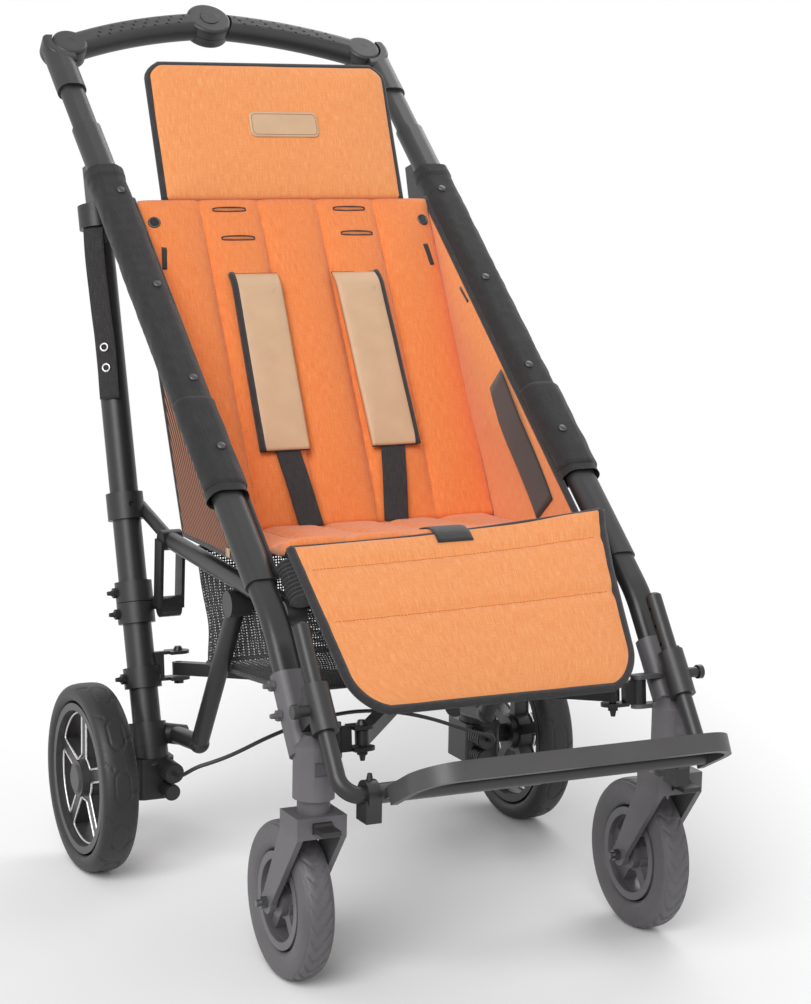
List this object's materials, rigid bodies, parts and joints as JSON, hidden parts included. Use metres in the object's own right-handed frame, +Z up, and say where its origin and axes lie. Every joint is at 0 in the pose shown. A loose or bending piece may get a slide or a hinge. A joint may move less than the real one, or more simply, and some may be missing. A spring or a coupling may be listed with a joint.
{
  "type": "special needs buggy",
  "caption": "Folding special needs buggy with a padded sling seat, swivel casters, a cross-braced frame, a net basket and a flip-up footplate.",
  "frame": {"origin": "ground point below the middle of the bounding box", "axes": "+Z up, the rider faces -Y, +X to the left of the rider"},
  "size_m": [0.6482, 1.1192, 1.0742],
  "materials": {
    "frame_paint": "satin powder coat",
    "cast_grey": "fine-grained moulding",
    "black_plastic": "smooth moulding",
    "grip_plastic": "soft-touch moulding",
    "brace_paint": "satin powder coat",
    "rim_plastic": "moulded rim",
    "tyre_rubber": "solid tyre",
    "bolt_steel": "plated bolt",
    "orange_cloth": "padded melange cloth",
    "black_cloth": "woven cover",
    "net": "open net",
    "tan_leather": "soft leather",
    "cable_sheath": "cable sheath"
  },
  "bodies": {
    "right_frame": {"right_main_tube": "frame_paint", "right_lower_tube": "frame_paint", "right_handle_corner": "cast_grey", "right_leg_casting": "cast_grey", "right_rear_tube": "frame_paint", "right_collars": "black_plastic", "right_seat_rail": "frame_paint", "right_strut": "frame_paint", "right_axle_housing": "cast_grey", "right_hanger_clamp": "black_plastic", "right_side_panel": "orange_cloth", "right_tube_cover": "black_cloth", "fold_strap": "black_cloth", "seat_pad": "orange_cloth", "back_pad": "orange_cloth", "head_pad": "orange_cloth", "calf_pad": "orange_cloth", "basket": "net", "harness": "tan_leather", "brake_cable": "cable_sheath"},
    "left_frame": {"left_main_tube": "frame_paint", "left_lower_tube": "frame_paint", "left_handle_corner": "cast_grey", "left_leg_casting": "cast_grey", "left_rear_tube": "frame_paint", "left_collars": "black_plastic", "left_seat_rail": "frame_paint", "left_strut": "frame_paint", "left_axle_housing": "cast_grey", "left_hanger_clamp": "black_plastic", "left_side_panel": "orange_cloth", "left_tube_cover": "black_cloth"},
    "right_grip": {"right_grip": "grip_plastic"},
    "left_grip": {"left_grip": "grip_plastic"},
    "button": {"handle_button": "black_plastic"},
    "right_hanger": {"right_hanger": "frame_paint"},
    "left_hanger": {"left_hanger": "frame_paint"},
    "footplate": {"footplate": "frame_paint"},
    "upper_bar": {"upper_bar": "brace_paint"},
    "lower_bar": {"lower_bar": "brace_paint"},
    "pedal": {"brake_pedal": "black_plastic"},
    "right_front_arm": {"right_front_arm": "brace_paint"},
    "right_rear_arm": {"right_rear_arm": "brace_paint"},
    "right_fork": {"right_caster_fork": "cast_grey", "right_caster_axle": "bolt_steel"},
    "right_caster": {"right_caster_wheel": "rim_plastic", "right_caster_tyre": "tyre_rubber"},
    "right_lock": {"right_swivel_lock": "black_plastic"},
    "right_wheel": {"right_rear_wheel": "rim_plastic", "right_rear_tyre": "tyre_rubber"},
    "left_front_arm": {"left_front_arm": "brace_paint"},
    "left_rear_arm": {"left_rear_arm": "brace_paint"},
    "left_fork": {"left_caster_fork": "cast_grey", "left_caster_axle": "bolt_steel"},
    "left_caster": {"left_caster_wheel": "rim_plastic", "left_caster_tyre": "tyre_rubber"},
    "left_lock": {"left_swivel_lock": "black_plastic"},
    "left_wheel": {"left_rear_wheel": "rim_plastic", "left_rear_tyre": "tyre_rubber"}
  },
  "joints": [
    {"name": "right_corner_fold", "type": "hinge", "parent": "right_frame", "child": "right_grip", "pos_m": [-0.213, 0.48446, 1.00992], "axis": [0, -0.628, 0.7782], "range_deg": [0, 39.1]},
    {"name": "hub_fold", "type": "hinge", "parent": "right_grip", "child": "left_grip", "pos_m": [0, 0.52804, 1.04508], "axis": [0, -0.628, 0.7782], "range_deg": [-78.21, 0]},
    {"name": "side_fold", "type": "hinge", "parent": "left_grip", "child": "left_frame", "pos_m": [0.213, 0.48446, 1.00992], "axis": [0, -0.628, 0.7782], "range_deg": [0, 39.09], "deforming": ["seat_pad", "back_pad", "head_pad", "calf_pad", "basket", "harness", "brake_cable"]},
    {"name": "handle_release", "type": "slide", "parent": "right_grip", "child": "button", "axis": [0, 0.628, -0.7782], "range_m": [0, 0.003], "stiffness_N_per_m": 1500, "springref_m": -0.003},
    {"name": "right_front_arm_swing", "type": "hinge", "parent": "right_frame", "child": "right_front_arm", "pos_m": [-0.192, -0.35233, 0.286], "axis": [0, 0.1039, 0.9946], "range_deg": [-55.12, 0]},
    {"name": "right_rear_arm_swing", "type": "hinge", "parent": "right_frame", "child": "right_rear_arm", "pos_m": [-0.23, 0.14698, 0.23407], "axis": [0, 0.2924, 0.9563], "range_deg": [0, 55.12]},
    {"name": "left_front_arm_swing", "type": "hinge", "parent": "left_frame", "child": "left_front_arm", "pos_m": [0.192, -0.35233, 0.286], "axis": [0, 0.1039, 0.9946], "range_deg": [0, 55.12]},
    {"name": "left_rear_arm_swing", "type": "hinge", "parent": "left_frame", "child": "left_rear_arm", "pos_m": [0.23, 0.14698, 0.23407], "axis": [0, 0.2924, 0.9563], "range_deg": [-55.12, 0]},
    {"name": "upper_bar_swing", "type": "hinge", "parent": "left_front_arm", "child": "upper_bar", "pos_m": [0.158, -0.35233, 0.286], "axis": [0, 0.1039, 0.9946], "range_deg": [-69.09, 0]},
    {"name": "lower_bar_swing", "type": "hinge", "parent": "right_front_arm", "child": "lower_bar", "pos_m": [-0.158, -0.35233, 0.286], "axis": [0, 0.1039, 0.9946], "range_deg": [0, 69.09]},
    {"name": "right_hanger_slide", "type": "slide", "parent": "right_frame", "child": "right_hanger", "axis": [0, 0.585, 0.8111], "range_m": [-0.025, 0.03]},
    {"name": "left_hanger_slide", "type": "slide", "parent": "left_frame", "child": "left_hanger", "axis": [0, 0.585, 0.8111], "range_m": [-0.025, 0.03]},
    {"name": "footplate_lift", "type": "hinge", "parent": "right_hanger", "child": "footplate", "pos_m": [0, -0.44292, 0.23976], "axis": [-1, 0, 0], "range_deg": [0, 60]},
    {"name": "right_swivel", "type": "hinge", "parent": "right_frame", "child": "right_fork", "pos_m": [-0.224, -0.37433, 0.215], "axis": [0, 0, 1], "continuous": true},
    {"name": "right_caster_spin", "type": "hinge", "parent": "right_fork", "child": "right_caster", "pos_m": [-0.224, -0.31433, 0.089], "axis": [1, 0, 0], "continuous": true},
    {"name": "right_lock_flip", "type": "hinge", "parent": "right_fork", "child": "right_lock", "pos_m": [-0.224, -0.39833, 0.194], "axis": [1, 0, 0], "range_deg": [0, 18]},
    {"name": "right_wheel_spin", "type": "hinge", "parent": "right_frame", "child": "right_wheel", "pos_m": [-0.301, 0.13367, 0.1175], "axis": [1, 0, 0], "continuous": true},
    {"name": "left_swivel", "type": "hinge", "parent": "left_frame", "child": "left_fork", "pos_m": [0.224, -0.37433, 0.215], "axis": [0, 0, 1], "continuous": true},
    {"name": "left_caster_spin", "type": "hinge", "parent": "left_fork", "child": "left_caster", "pos_m": [0.224, -0.31433, 0.089], "axis": [1, 0, 0], "continuous": true},
    {"name": "left_lock_flip", "type": "hinge", "parent": "left_fork", "child": "left_lock", "pos_m": [0.224, -0.39833, 0.194], "axis": [1, 0, 0], "range_deg": [0, 18]},
    {"name": "left_wheel_spin", "type": "hinge", "parent": "left_frame", "child": "left_wheel", "pos_m": [0.301, 0.13367, 0.1175], "axis": [1, 0, 0], "continuous": true},
    {"name": "brake_press", "type": "hinge", "parent": "right_frame", "child": "pedal", "pos_m": [-0.23, 0.16752, 0.1095], "axis": [-1, 0, 0], "range_deg": [0, 18]}
  ],
  "couplings": [
    {"joint": "right_corner_fold", "follows": "side_fold", "ratio": 1},
    {"joint": "hub_fold", "follows": "side_fold", "ratio": -2},
    {"joint": "right_front_arm_swing", "follows": "side_fold", "ratio": -1.4097},
    {"joint": "left_front_arm_swing", "follows": "side_fold", "ratio": 1.4097},
    {"joint": "right_rear_arm_swing", "follows": "side_fold", "ratio": 1.4097},
    {"joint": "left_rear_arm_swing", "follows": "side_fold", "ratio": -1.4097},
    {"joint": "upper_bar_swing", "follows": "side_fold", "ratio": -1.767},
    {"joint": "lower_bar_swing", "follows": "side_fold", "ratio": 1.767},
    {"joint": "left_hanger_slide", "follows": "right_hanger_slide", "ratio": 1}
  ]
}
